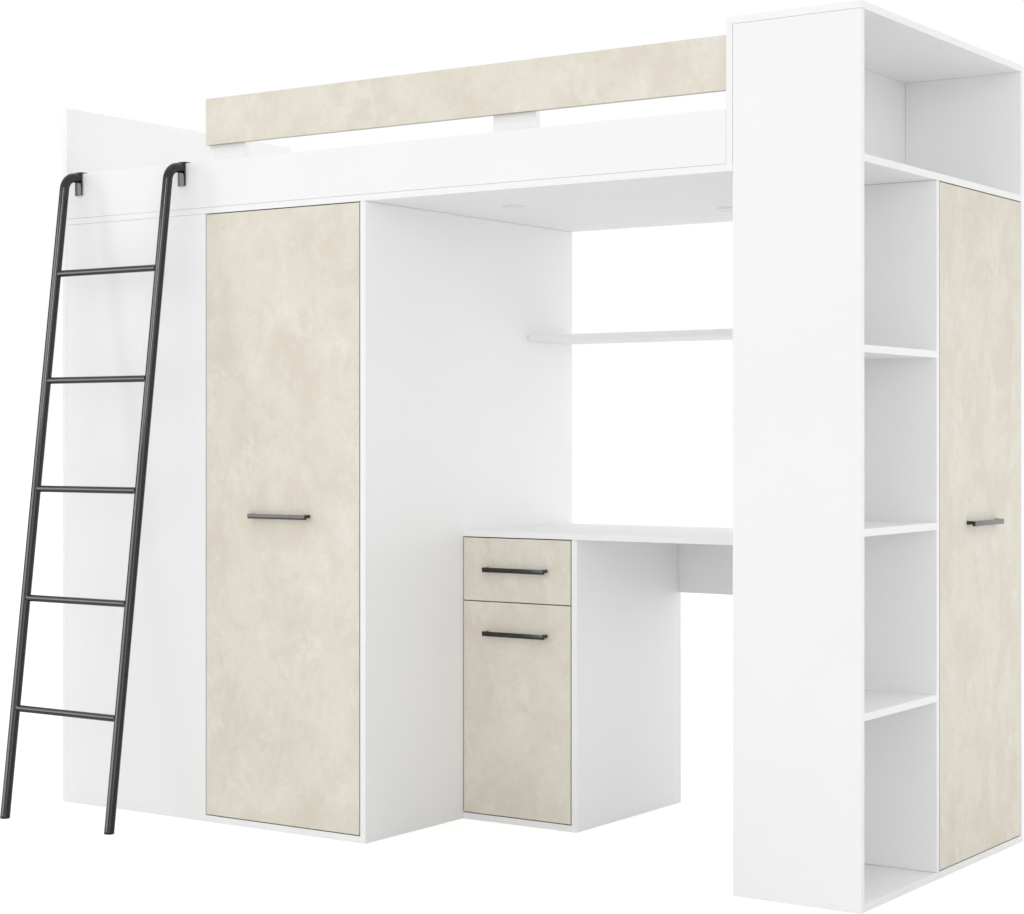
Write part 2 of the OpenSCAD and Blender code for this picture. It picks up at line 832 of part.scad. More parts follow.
module tower_door_fittings() color(STEEL) placed() facing_right() {
    for (z = tower_hinges) translate([tower_door_span[0][1] - cup_inset, 0, z]) hinge_cup();
    translate([tower_handle[0], 0, tower_handle[1]]) handle_screws();
}

// ---------- drawer ----------

module drawer_front() color(STONE) placed() translate([0, y_desk, 0]) difference() {
    block(front_span[0], [0, board_t], front_span[1]);
    handle_bores(drawer_handle_at);
}

module drawer_handle() color(BLACK) placed() {
    translate([drawer_handle_at[0], y_desk, drawer_handle_at[1]]) handle();
}

// Groove that holds the drawer's bottom, all round inside the box
module bottom_groove() {
    block(
        [box_x[0] + box_t - groove_in, box_x[1] - box_t + groove_in],
        [box_y - past, box_y + box_d - box_t + groove_in],
        [box_z + groove_up, box_z + groove_up + thin_t + 2 * fit]
    );
}

module drawer_sides() color(WHITE) placed() difference() {
    for (x = [box_x[0], box_x[1] - box_t]) {
        block([x, x + box_t], [box_y, box_y + box_d], [box_z, box_z + box_h]);
    }
    bottom_groove();
}

module drawer_back() color(WHITE) placed() difference() {
    block(
        [box_x[0] + box_t, box_x[1] - box_t], [box_y + box_d - box_t, box_y + box_d],
        [box_z, box_z + box_h]
    );
    bottom_groove();
}

module drawer_bottom() color(WHITE) placed() {
    block(
        [box_x[0] + box_t - groove_in + fit, box_x[1] - box_t + groove_in - fit],
        [box_y, box_y + box_d - box_t + groove_in - fit],
        [box_z + groove_up + fit, box_z + groove_up + fit + thin_t]
    );
}

module drawer_fittings() color(STEEL) placed() {
    inner = runner_h / 2 - runner_t - slide_gap;
    for (side = [[box_x[0], -1], [box_x[1], 1]]) translate([side[0], box_y + behind_door, runner_z])
        mirrored(side[1])
            block([0, runner_gap - runner_t - slide_gap], [0, box_d - 2 * behind_door], [-inner, inner]);
    translate([drawer_handle_at[0], y_desk, drawer_handle_at[1]]) handle_screws();
}

// ---------- ladder ----------

// A rod along a rail's straight stretch, from just below the floor
module leaning_rod(r, h) {
    translate([0, foot_y, 0]) rotate([-lean, 0, 0]) translate([0, 0, -plug_l])
        cylinder(r = r, h = h + plug_l);
}

// Everything between two heights, round one foot of the ladder
module foot_slab(low, high) {
    block([-foot_half, foot_half], [foot_y - foot_half, foot_y + foot_half], [low, high]);
}

// One rail's path swept as a rod of radius r: straight up, over the bend and level to the hook
module rail_tube(r) {
    translate([0, bend_y, tube_z]) rotate(BACK) cylinder(r = r, h = level_run);
    leaning_rod(r, straight_z / cos(lean) - rail_parting);
    translate([0, bend_y, bend_z]) rotate([90, 0, 90]) rotate([0, 0, 90])
        rotate_extrude(angle = 90 - lean) translate([bend_r, 0]) circle(r = r);
}

module ladder_rails() color(BLACK) placed() {
    for (x = rail_xs) translate([x, 0, 0]) difference() {
        rail_tube(tube_r);
        rail_tube(tube_r - tube_wall);
        foot_slab(-foot_half, foot_h);
    }
}

// Plugs with a level sole, pushed into the rails' lower ends
module ladder_feet() color(BLACK) placed() {
    for (x = rail_xs) translate([x, 0, 0]) {
        intersection() {
            leaning_rod(tube_r, foot_half);
            foot_slab(0, foot_h);
        }
        intersection() {
            leaning_rod(tube_r - tube_wall - fit, foot_half);
            foot_slab(foot_h / 2, foot_h + plug_l);
        }
    }
}

module ladder_rungs() color(BLACK) placed() difference() {
    for (z = rung_z) translate([rail_xs[0], rail_y(z), z]) rotate(RIGHT) cylinder(r = rung_r, h = ladder_w);
    for (x = rail_xs) translate([x, 0, 0]) leaning_rod(tube_r, z_rail);
}

module ladder_hooks() color(BLACK) placed() {
    out = hook_clear + hook_t;
    for (x = rail_xs) translate([x - hook_w / 2, 0, 0]) difference() {
        block([0, hook_w], [-out, board_t + out], [z_rail - hook_front, z_rail + hook_t]);
        block([-past, hook_w + past], [-hook_clear, board_t + hook_clear], [0, z_rail]);
        block([-past, hook_w + past], [0, board_t + out + past], [0, z_rail - hook_back]);
    }
}

left_end_panel();
bed_base_board();
front_rail();
back_rail();
headboard_panel();
guard_board();
guard_posts();
base_battens();
wardrobe_bottom();
wardrobe_side();
wardrobe_fixed_front();
wardrobe_stile();
wardrobe_back();
hat_shelf();
clothes_rail();
clothes_rail_sockets();
desk_top();
desk_side();
desk_bottom();
desk_back();
desk_stretcher();
desk_shelf();
modesty_panel();
wall_shelf();
tower_front_panel();
tower_back_panel();
tower_top();
tower_bottom();
tower_middle_shelf();
tower_partition();
tower_inner_wall();
bookcase_shelves();
cupboard_shelves();
runner_channels();
shelf_pins();
cam_locks();
cam_bolts();
hinge_arms();
light_bodies();
light_lenses();
wardrobe_door();
wardrobe_door_handle();
wardrobe_door_fittings();
desk_door();
desk_door_handle();
desk_door_fittings();
tower_door();
tower_door_handle();
tower_door_fittings();
drawer_front();
drawer_handle();
drawer_sides();
drawer_back();
drawer_bottom();
drawer_fittings();
ladder_rails();
ladder_rungs();
ladder_hooks();
ladder_feet();
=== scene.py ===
"""The looks of a loft bed with a desk, a wardrobe, a bookcase tower and a steel ladder.

Boards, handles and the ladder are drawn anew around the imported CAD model. Small fittings stay as they are.
"""

import json
import math

import bmesh
import bpy
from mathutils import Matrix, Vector

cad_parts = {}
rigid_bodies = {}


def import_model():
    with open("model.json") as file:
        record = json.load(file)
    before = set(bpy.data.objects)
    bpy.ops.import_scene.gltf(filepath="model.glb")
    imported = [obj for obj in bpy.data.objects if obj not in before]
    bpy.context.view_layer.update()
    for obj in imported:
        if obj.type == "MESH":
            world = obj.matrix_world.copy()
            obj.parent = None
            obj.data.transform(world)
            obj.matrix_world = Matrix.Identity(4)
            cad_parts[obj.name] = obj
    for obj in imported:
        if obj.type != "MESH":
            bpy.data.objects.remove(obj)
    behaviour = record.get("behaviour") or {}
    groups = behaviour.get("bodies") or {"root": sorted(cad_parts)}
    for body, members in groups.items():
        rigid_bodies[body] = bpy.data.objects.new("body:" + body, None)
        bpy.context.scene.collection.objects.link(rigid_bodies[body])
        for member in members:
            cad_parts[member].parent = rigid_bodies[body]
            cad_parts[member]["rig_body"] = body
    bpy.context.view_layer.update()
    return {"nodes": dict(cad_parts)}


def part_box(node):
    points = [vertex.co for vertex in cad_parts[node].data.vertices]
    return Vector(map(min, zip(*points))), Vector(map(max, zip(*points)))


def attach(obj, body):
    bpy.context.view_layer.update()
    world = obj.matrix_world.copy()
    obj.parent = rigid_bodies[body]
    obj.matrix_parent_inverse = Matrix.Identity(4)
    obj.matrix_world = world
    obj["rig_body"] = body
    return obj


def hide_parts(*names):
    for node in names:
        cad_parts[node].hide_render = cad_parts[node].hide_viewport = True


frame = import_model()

MM = 0.001
nodes = frame["nodes"]


# ---------------------------------------------------------------- node helpers


class Shader:
    """A material's node tree, with short calls for the nodes that the finishes below are made of."""

    def __init__(self, name):
        self.material = bpy.data.materials.new(name)
        self.material.use_nodes = True
        self.tree = self.material.node_tree
        self.surface = self.tree.nodes["Principled BSDF"]
        self.place = self.add("ShaderNodeTexCoord").outputs["Object"]

    def add(self, kind, **settings):
        node = self.tree.nodes.new(kind)
        for key, value in settings.items():
            setattr(node, key, value)
        return node

    def plug(self, value, socket):
        """A socket is linked, and a plain number or colour is set."""
        if isinstance(value, bpy.types.NodeSocket):
            self.tree.links.new(value, socket)
        else:
            socket.default_value = value

    def set(self, **values):
        """Surface sockets by name, with _ for a space."""
        for name, value in values.items():
            self.plug(value, self.surface.inputs[name.replace("_", " ")])

    def stretched(self, x, y, z, shift=(0, 0, 0)):
        """The piece's own coordinates, scaled along each axis."""
        node = self.add("ShaderNodeMapping")
        self.plug(self.place, node.inputs["Vector"])
        node.inputs["Scale"].default_value = (x, y, z)
        node.inputs["Location"].default_value = shift
        return node.outputs["Vector"]

    def noise(self, scale, detail=2.0, rough=0.5, warp=0.0, at=None):
        node = self.add("ShaderNodeTexNoise")
        self.plug(at or self.place, node.inputs["Vector"])
        node.inputs["Scale"].default_value = scale
        node.inputs["Detail"].default_value = detail
        node.inputs["Roughness"].default_value = rough
        node.inputs["Distortion"].default_value = warp
        return node.outputs["Fac"]

    def ramp(self, value, low, high, out_low=0.0, out_high=1.0):
        """value from low..high to out_low..out_high, held at both ends."""
        node = self.add("ShaderNodeMapRange", interpolation_type="SMOOTHSTEP")
        self.plug(value, node.inputs["Value"])
        for name, number in (
            ("From Min", low),
            ("From Max", high),
            ("To Min", out_low),
            ("To Max", out_high),
        ):
            node.inputs[name].default_value = number
        return node.outputs["Result"]

    def sums(self, operation, a, b=0.0):
        node = self.add("ShaderNodeMath", operation=operation)
        self.plug(a, node.inputs[0])
        self.plug(b, node.inputs[1])
        return node.outputs["Value"]

    def mix(self, amount, a, b):
        """Colour a where amount is 0, and b where it is 1."""
        node = self.add("ShaderNodeMix", data_type="RGBA")
        self.plug(amount, node.inputs["Factor"])
        self.plug(colour(a), node.inputs[6])
        self.plug(colour(b), node.inputs[7])
        return node.outputs[2]

    def bump(self, height, distance, strength=1.0, under=None):
        node = self.add("ShaderNodeBump")
        self.plug(height, node.inputs["Height"])
        node.inputs["Distance"].default_value = distance
        node.inputs["Strength"].default_value = strength
        if under is not None:
            self.plug(under, node.inputs["Normal"])
        return node.outputs["Normal"]


def colour(value):
    """Three numbers become a colour with full alpha; a socket goes through."""
    return (*value, 1.0) if isinstance(value, (tuple, list)) and len(value) == 3 else value


# ------------------------------------------------------------------- finishes


def melamine(name, tint):
    """White melamine board: a fine pearl grain in the paper, faintly uneven in tone and gloss."""
    s = Shader(name)
    cloud = s.noise(3.0, 3, 0.55)
    speck = s.noise(900.0, 2, 0.6)
    base = s.mix(s.ramp(cloud, 0.3, 0.7), tint, [c * 0.985 for c in tint])
    base = s.mix(s.ramp(speck, 0.35, 0.75, 0.0, 0.5), base, [c * 0.965 for c in tint])
    pearl = s.noise(1400.0, 2, 0.55)
    s.set(
        Base_Color=base,
        Roughness=s.ramp(s.noise(40.0, 4, 0.6), 0.3, 0.7, 0.40, 0.50),
        Normal=s.bump(pearl, 0.00006, 0.5),
    )
    s.surface.inputs["IOR"].default_value = 1.5
    return s.material


def edge_band(name, tint):
    """ABS edge band: smoother than the face, with the fine draw lines of the extrusion."""
    s = Shader(name)
    lines = s.noise(260.0, 3, 0.5, at=s.stretched(0.05, 0.05, 1))
    base = s.mix(s.ramp(lines, 0.3, 0.7), tint, [c * 0.98 for c in tint])
    s.set(
        Base_Color=base,
        Roughness=s.ramp(s.noise(70.0, 3, 0.5), 0.3, 0.7, 0.34, 0.42),
        Normal=s.bump(s.noise(600.0, 2, 0.5), 0.00004, 0.4),
    )
    return s.material


def stone(name, tone=1.0):
    """Cream stone decor: cloudy patches, mottling and grain, with a few hairline scratches."""
    s = Shader(name)
    cream, sand, clay, chalk = (
        [c * tone for c in shade]
        for shade in (
            (0.815, 0.778, 0.680),
            (0.758, 0.700, 0.592),
            (0.705, 0.628, 0.512),
            (0.855, 0.834, 0.762),
        )
    )
    tall = s.stretched(1.0, 1.0, 0.8)
    patch = s.noise(8.0, 9, 0.68, 0.3, at=tall)
    base = s.mix(s.ramp(patch, 0.40, 0.64), cream, sand)
    pale = s.noise(13.0, 9, 0.70, 0.3, at=s.stretched(1.0, 1.0, 0.8, (3, 1, 2)))
    base = s.mix(s.ramp(pale, 0.5, 0.68, 0.0, 0.8), base, chalk)
    warm = s.noise(21.0, 9, 0.72, 0.4, at=s.stretched(1.0, 1.0, 0.85, (7, 5, 3)))
    base = s.mix(s.ramp(warm, 0.52, 0.74, 0.0, 0.6), base, clay)
    # Worn spots: small ragged islands with a crackled rim
    worn = s.noise(48.0, 7, 0.75, 0.8, at=s.stretched(1.0, 1.0, 0.9, (5, 9, 6)))
    base = s.mix(s.ramp(worn, 0.56, 0.66, 0.0, 0.45), base, sand)
    base = s.mix(s.ramp(worn, 0.44, 0.34, 0.0, 0.5), base, chalk)
    mottle = s.noise(90.0, 6, 0.7)
    base = s.mix(s.ramp(mottle, 0.45, 0.72, 0.0, 0.4), base, sand)
    grain = s.noise(420.0, 3, 0.7)
    base = s.mix(s.ramp(grain, 0.45, 0.8, 0.0, 0.35), base, clay)
    # Hairlines: where a warped noise crosses its middle, inside a few small areas only
    drawn = s.stretched(1, 1, 0.45, (1, 8, 4))
    line = s.sums("SUBTRACT", s.noise(26.0, 3, 0.5, 1.2, at=drawn), 0.5)
    line = s.sums("ABSOLUTE", line)
    few = s.ramp(s.noise(19.0, 2, 0.5, at=s.stretched(1, 1, 1, (11, 2, 9))), 0.60, 0.70)
    hair = s.sums("MULTIPLY", s.ramp(line, 0.0, 0.006, 1.0, 0.0), few)
    base = s.mix(s.sums("MULTIPLY", hair, 0.5), base, [c * 0.8 for c in clay])
    bumps = s.sums("ADD", s.sums("MULTIPLY", grain, 0.6), s.sums("MULTIPLY", mottle, 0.8))
    bumps = s.sums("SUBTRACT", bumps, s.sums("MULTIPLY", hair, 0.7))
    s.set(
        Base_Color=base,
        Roughness=s.ramp(mottle, 0.3, 0.7, 0.48, 0.62),
        Normal=s.bump(bumps, 0.00025, 0.5),
    )
    return s.material


def fibreboard(name):
    """Thin white lacquered fibreboard: a faint felt of fibres under the lacquer."""
    s = Shader(name)
    felt = s.noise(350.0, 4, 0.7, 0.6)
    base = s.mix(s.ramp(felt, 0.35, 0.7), (0.83, 0.83, 0.82), (0.79, 0.79, 0.775))
    s.set(
        Base_Color=base,
        Roughness=s.ramp(s.noise(30.0, 3, 0.5), 0.3, 0.7, 0.5, 0.62),
        Normal=s.bump(felt, 0.00012, 0.5),
    )
    return s.material


def steel(name):
    """Zinc-plated steel: brushed along, with a faintly uneven plating."""
    s = Shader(name)
    brush = s.noise(900.0, 3, 0.6, at=s.stretched(1, 1, 0.12))
    cloud = s.noise(120.0, 3, 0.5)
    base = s.mix(s.ramp(cloud, 0.3, 0.7), (0.62, 0.62, 0.61), (0.52, 0.52, 0.50))
    s.set(
        Base_Color=base,
        Metallic=1.0,
        Roughness=s.ramp(brush, 0.3, 0.7, 0.24, 0.40),
        Normal=s.bump(brush, 0.00003, 0.4),
    )
    return s.material


def lacquer(name, tint, rough, speckle):
    """Black powder coat on steel: a fine orange peel, unevenly glossy."""
    s = Shader(name)
    peel = s.noise(1100.0, 2, 0.5)
    cloud = s.noise(60.0, 3, 0.5)
    base = s.mix(s.ramp(cloud, 0.3, 0.7), tint, [c * 0.8 for c in tint])
    s.set(
        Base_Color=base,
        Roughness=s.ramp(peel, 0.3, 0.7, rough - speckle, rough + speckle),
        Normal=s.bump(peel, 0.00005, 0.5),
    )
    return s.material


def plastic(name, tint, rough):
    """Moulded plastic with a spark-eroded matt texture."""
    s = Shader(name)
    spark = s.noise(1500.0, 2, 0.6)
    base = s.mix(s.ramp(s.noise(50.0, 3, 0.5), 0.3, 0.7), tint, [c * 0.93 for c in tint])
    s.set(
        Base_Color=base,
        Roughness=s.ramp(spark, 0.3, 0.7, rough - 0.05, rough + 0.05),
        Normal=s.bump(spark, 0.00008, 0.5),
    )
    return s.material


def lens(name):
    """Frosted lamp cover with fine rings of prisms."""
    s = Shader(name)
    frost = s.noise(800.0, 2, 0.5)
    s.set(
        Base_Color=s.mix(s.ramp(frost, 0.3, 0.7), (0.95, 0.95, 0.94), (0.92, 0.92, 0.91)),
        Roughness=s.ramp(frost, 0.3, 0.7, 0.25, 0.4),
        Normal=s.bump(frost, 0.0001, 0.5),
    )
    return s.material


WHITE = (0.96, 0.96, 0.96)
white_face = melamine("white_melamine_face", WHITE)
white_edge = edge_band("white_edge_band", (0.96, 0.96, 0.96))
stone_face = stone("stone_decor_face")
# The stone boards' edge band is darkened far below the decor's cream, as painted shade for the dark lines in
# the door gaps
gap_shaded_stone_edge = edge_band("stone_edge_band_gap_shade", (0.42, 0.375, 0.30))
thin_face = fibreboard("lacquered_fibreboard")
zinc = steel("zinc_plated_steel")
handle_coat = lacquer("black_handle_coat", (0.0135, 0.0135, 0.014), 0.20, 0.03)
tube_coat = lacquer("black_tube_coat", (0.0105, 0.0105, 0.011), 0.08, 0.02)
black_cap = plastic("black_end_cap", (0.014, 0.014, 0.014), 0.5)
lamp_body = plastic("white_lamp_body", (0.95, 0.95, 0.945), 0.4)
lamp_lens = lens("frosted_lamp_lens")


# ---------------------------------------------------------------------- meshes


def whole_faces(node):
    """The CAD node's shape as a bmesh, its corners joined and its flat faces put back together."""
    bm = bmesh.new()
    bm.from_mesh(nodes[node].data)
    bmesh.ops.remove_doubles(bm, verts=bm.verts, dist=1e-6)
    bmesh.ops.dissolve_limit(
        bm, angle_limit=math.radians(0.5), verts=bm.verts, edges=bm.edges
    )
    return bm


def outer_edges(bm, shortest, least_angle=80):
    """Straight convex edges at least that long."""
    return [
        e
        for e in bm.edges
        if len(e.link_faces) == 2
        and e.calc_length() >= shortest
        and e.is_convex
        and math.degrees(e.calc_face_angle()) > least_angle
    ]


def ease(bm, edges, radius):
    """Rounds those edges in two steps."""
    bmesh.ops.bevel(
        bm,
        geom=edges,
        offset=radius,
        segments=2,
        profile=0.5,
        affect="EDGES",
        clamp_overlap=True,
    )


def to_object(bm, name, materials):
    mesh = bpy.data.meshes.new(name)
    bm.to_mesh(mesh)
    bm.free()
    obj = bpy.data.objects.new(name, mesh)
    bpy.context.scene.collection.objects.link(obj)
    for material in materials:
        mesh.materials.append(material)
    return obj


def smooth(obj, angle=30, flat_above=None):
    """Smooth shading that keeps edges sharper than the angle. Faces larger than flat_above stay flat."""
    mesh = obj.data
    mesh.set_sharp_from_angle(angle=math.radians(angle))
    for polygon in mesh.polygons:
        polygon.use_smooth = flat_above is None or polygon.area < flat_above


NEAR = 0.01 * MM  # points this close to a side belong to it
SEAM = 0.5 * MM  # how far a butted side is drawn back
BOARD_EASE = 0.6 * MM  # radius of a board's edges
HANDLE_EASE = 0.4 * MM
HOOK_EASE = 0.6 * MM
LONG_EDGE = 10 * MM  # shortest edge of a board that is rounded
SHORT_EDGE = 3 * MM  # the same for metal
SMALL_FACE = (8 * MM) ** 2  # a board's faces from this size up are shaded flat

# Nodes of several boards, whose own thickness isn't the node's least side
BOARD_AXIS = {
    "guard_posts": 1,
    "base_battens": 2,
    "bookcase_shelves": 2,
    "cupboard_shelves": 2,
    "drawer_sides": 0,
    "drawer_back": 1,
}

# Sides that show as a seam, by axis and end
BUTTED = {
    "front_rail": ("x-", "x+", "z-"),
    "back_rail": ("x-", "x+", "z-"),
    "headboard_panel": ("x+",),
    "bed_base_board": ("x-",),
    "wardrobe_fixed_front": ("x-", "z+"),
    "wardrobe_side": ("z+",),
    "tower_front_panel": ("z+", "x-"),
    "desk_side": ("z+",),
    "desk_top": ("x+",),
    "wall_shelf": ("x-", "x+"),
    "modesty_panel": ("z+",),
    "tower_partition": ("z-", "z+"),
    "tower_middle_shelf": ("x-",),
}


def open_seams(bm, node):
    """Draws the sides that butt against another board back by a hair, so that the joint shows as a line."""
    low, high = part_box(node)
    for side in BUTTED.get(node, ()):
        axis = "xyz".index(side[0])
        at, step = (low[axis], SEAM) if side[1] == "-" else (high[axis], -SEAM)
        for v in bm.verts:
            if abs(v.co[axis] - at) < NEAR:
                v.co[axis] += step


def board(node, face, edge):
    """The CAD board with its long edges rounded and its narrow sides banded."""
    bm = whole_faces(node)
    open_seams(bm, node)
    ease(bm, outer_edges(bm, LONG_EDGE), BOARD_EASE)
    low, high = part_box(node)
    size = high - low
    obj = to_object(bm, node + "_finish", [face, edge])
    flat_axis = BOARD_AXIS.get(node, min(range(3), key=lambda i: size[i]))
    for polygon in obj.data.polygons:
        polygon.material_index = 0 if abs(polygon.normal[flat_axis]) > 0.9 else 1
    smooth(obj, 50, SMALL_FACE)
    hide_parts(node)
    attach(obj, nodes[node]["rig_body"])
    return obj


for name in (
    "left_end_panel",
    "bed_base_board",
    "front_rail",
    "back_rail",
    "headboard_panel",
    "guard_posts",
    "base_battens",
    "wardrobe_bottom",
    "wardrobe_side",
    "wardrobe_fixed_front",
    "wardrobe_stile",
    "hat_shelf",
    "desk_top",
    "desk_side",
    "desk_bottom",
    "desk_stretcher",
    "desk_shelf",
    "modesty_panel",
    "wall_shelf",
    "tower_front_panel",
    "tower_back_panel",
    "tower_top",
    "tower_bottom",
    "tower_middle_shelf",
    "tower_partition",
    "tower_inner_wall",
    "bookcase_shelves",
    "cupboard_shelves",
    "drawer_sides",
    "drawer_back",
):
    board(name, white_face, white_edge)
for name in ("guard_board", "wardrobe_door", "desk_door", "tower_door", "drawer_front"):
    board(name, stone_face, gap_shaded_stone_edge)


def handle(node):
    """The CAD bar handle with its sharp edges eased."""
    bm = whole_faces(node)
    ease(bm, outer_edges(bm, SHORT_EDGE, 40), HANDLE_EASE)
    obj = to_object(bm, node + "_finish", [handle_coat])
    smooth(obj, 35)
    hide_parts(node)
    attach(obj, nodes[node]["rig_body"])


for name in ("wardrobe_door", "desk_door", "tower_door"):
    handle(name + "_handle")
handle("drawer_handle")


# ---------------------------------------------------------------------- ladder

LEAN = math.radians(7.35)
TUBE_R = 12.75 * MM
TUBE_WALL = 1.5 * MM
BEND_R = 38 * MM
LEVEL_RUN = 14 * MM  # from the bend to the hook
RUNG_R = 8.8 * MM
RUNG_STEP = 287 * MM
FOOT_H = 6 * MM
ROUND = 48  # sides of a turned part
BEND_RINGS = 18
FOOT_RING = 8 * MM  # height of the first ring above the tube's level end

rail_low, rail_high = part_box("ladder_rails")
rung_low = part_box("ladder_rungs")[0]
rail_x = (rail_low.x + TUBE_R, rail_high.x - TUBE_R)
hook_end = Vector((0, rail_high.y, rail_high.z - TUBE_R))
bend_end = hook_end - Vector((0, LEVEL_RUN, 0))
bend_middle = bend_end - Vector((0, 0, BEND_R))
up = Vector((0, math.sin(LEAN), math.cos(LEAN)))
bend_start = bend_middle + BEND_R * Vector((0, -math.cos(LEAN), math.sin(LEAN)))


def on_rail(z):
    """The rail's middle line at that height."""
    return bend_start + up * ((z - bend_start.z) / up.z)


def skin(rings, name, closed, materials):
    """A mesh over rings of equal length, closed into a loop or else capped at both ends."""
    bm = bmesh.new()
    rows = [[bm.verts.new(p) for p in ring] for ring in rings]
    count = len(rows[0])
    pairs = list(zip(rows, rows[1:])) + ([(rows[-1], rows[0])] if closed else [])
    for a, b in pairs:
        for i in range(count):
            j = (i + 1) % count
            bm.faces.new((a[i], a[j], b[j], b[i]))
    if not closed:
        bm.faces.new(rows[0][::-1])
        bm.faces.new(rows[-1])
    bmesh.ops.recalc_face_normals(bm, faces=bm.faces)
    return to_object(bm, name, materials)


def rail_ring(middle, along, radius):
    side = Vector((1, 0, 0))
    out = along.cross(side)
    return [
        middle + radius * (math.cos(a) * side + math.sin(a) * out)
        for a in (2 * math.pi * k / ROUND for k in range(ROUND))
    ]


def cut_level(ring, z):
    """Slides a ring's points along the rail until they lie at that height."""
    return [p + up * ((z - p.z) / up.z) for p in ring]


def ladder_rail(x, radius):
    """Rings up the straight tube, which starts level, round the bend and along to the hook."""
    at = Vector((x, 0, 0))
    rings = [cut_level(rail_ring(on_rail(FOOT_H) + at, up, radius), FOOT_H)]
    rings.append(rail_ring(on_rail(FOOT_H + FOOT_RING) + at, up, radius))
    rings.append(rail_ring(bend_start + at, up, radius))
    for k in range(1, BEND_RINGS + 1):
        turn = LEAN + (math.pi / 2 - LEAN) * k / BEND_RINGS
        along = Vector((0, math.sin(turn), math.cos(turn)))
        middle = bend_middle + BEND_R * Vector((0, -math.cos(turn), math.sin(turn)))
        rings.append(rail_ring(middle + at, along, radius))
    rings.append(rail_ring(hook_end + at, Vector((0, 1, 0)), radius))
    return rings


def joined(objects, name):
    """Several meshes as one object."""
    bm = bmesh.new()
    for o in objects:
        bm.from_mesh(o.data)
    materials = list(objects[0].data.materials)
    for o in objects:
        bpy.data.objects.remove(o)
    return to_object(bm, name, materials)


rails = joined(
    [
        skin(
            ladder_rail(x, TUBE_R) + ladder_rail(x, TUBE_R - TUBE_WALL)[::-1],
            "rail",
            True,
            [tube_coat],
        )
        for x in rail_x
    ],
    "ladder_rails_finish",
)
smooth(rails, 40)
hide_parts("ladder_rails")
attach(rails, "ladder")

RUNG_HEIGHTS = [rung_low.z + RUNG_R + k * RUNG_STEP for k in range(5)]


def rung(z):
    """A round rung whose ends spread into a weld bead that follows the rail's side."""
    middle = on_rail(z)
    out = Vector((1, 0, 0)).cross(up)
    rings = []
    # Each ring: (distance past the rail's own surface, radius)
    bead = ((-1.0, 10.6), (-0.1, 10.7), (0.7, 10.1), (1.3, 9.3), (1.7, 8.82), (4.0, 8.8))
    for x, turn, order in ((rail_x[0], 1, bead), (rail_x[1], -1, bead[::-1])):
        for past, radius in order:
            ring = []
            for k in range(ROUND):
                a = 2 * math.pi * k / ROUND
                r = radius * MM
                across = min(abs(r * math.cos(a)), TUBE_R * 0.98)
                reach = math.sqrt(TUBE_R**2 - across**2) + past * MM
                ring.append(
                    Vector((x + turn * reach, middle.y, middle.z))
                    + r * math.cos(a) * out
                    + r * math.sin(a) * up
                )
            rings.append(ring)
    return skin(rings, "rung", False, [tube_coat])


rungs = joined([rung(z) for z in RUNG_HEIGHTS], "ladder_rungs_finish")
smooth(rungs, 60)
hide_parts("ladder_rungs")
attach(rungs, "ladder")


def foot(x):
    """A moulded end cap: a collar with a rounded lower edge, and a tapered plug inside the tube."""
    # (height, radius)
    shape = (
        (0.0, 10.8), (0.3, 11.8), (1.0, 12.4), (2.0, 12.75), (5.6, 12.75), (5.9, 12.5),
        (6.0, 11.15), (20.0, 10.9), (24.5, 9.8), (26.0, 8.8),
    )
    rings = []
    for z, radius in shape:
        ring = rail_ring(on_rail(z * MM) + Vector((x, 0, 0)), up, min(radius * MM, TUBE_R))
        rings.append(cut_level(ring, z * MM))
    return skin(rings, "foot", False, [black_cap])


feet = joined([foot(x) for x in rail_x], "ladder_feet_finish")
smooth(feet, 40)
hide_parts("ladder_feet")
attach(feet, "ladder")

hooks_bm = whole_faces("ladder_hooks")
ease(hooks_bm, outer_edges(hooks_bm, SHORT_EDGE), HOOK_EASE)
hooks = to_object(hooks_bm, "ladder_hooks_finish", [tube_coat])
smooth(hooks, 35)
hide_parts("ladder_hooks")
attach(hooks, "ladder")


# -------------------------------------------------- CAD nodes that stay as they are


def finish(material, *names):
    for name in names:
        for slot in nodes[name].material_slots:
            slot.material = material


finish(thin_face, "wardrobe_back", "desk_back", "drawer_bottom")
finish(
    zinc,
    "clothes_rail",
    "clothes_rail_sockets",
    "runner_channels",
    "shelf_pins",
    "cam_locks",
    "cam_bolts",
    "hinge_arms",
    "wardrobe_door_fittings",
    "desk_door_fittings",
    "tower_door_fittings",
    "drawer_fittings",
)
finish(lamp_body, "light_bodies")
finish(lamp_lens, "light_lenses")


# ---------------------------------------------------------------- studio and camera

FLOOR_GLOW = 0.80  # what the floor shows of its own
FLOOR_SHADE = 0.30  # what it shows of the light on it
FLOOR_BOUNCE = 0.74  # what it gives back to the object
TENT_LEVEL = 0.97  # the world's light
TENT_TILT = (-0.27, 0.12, 0.18)  # how much more of it comes from each axis's far end
MIRRORED = (0.1, 0.9)  # how bright the world is when mirrored, at its left end and elsewhere
LEFT_SIDE = (-0.92, -0.78)  # the x of the directions between which one turns into the other
FILL_ENERGY = 0.38
FILL_SPREAD = math.radians(35)
FILL_HEADING = (-0.70, 0.71, -0.07)
CAMERA_PLACE = (1.813, -4.077, 0.997)  # from the foot of the tower's front right corner
CAMERA_TURN = math.radians(35.34)
CAMERA_LENS = 73.69
CAMERA_SHIFT = (0.0703, -0.0203)


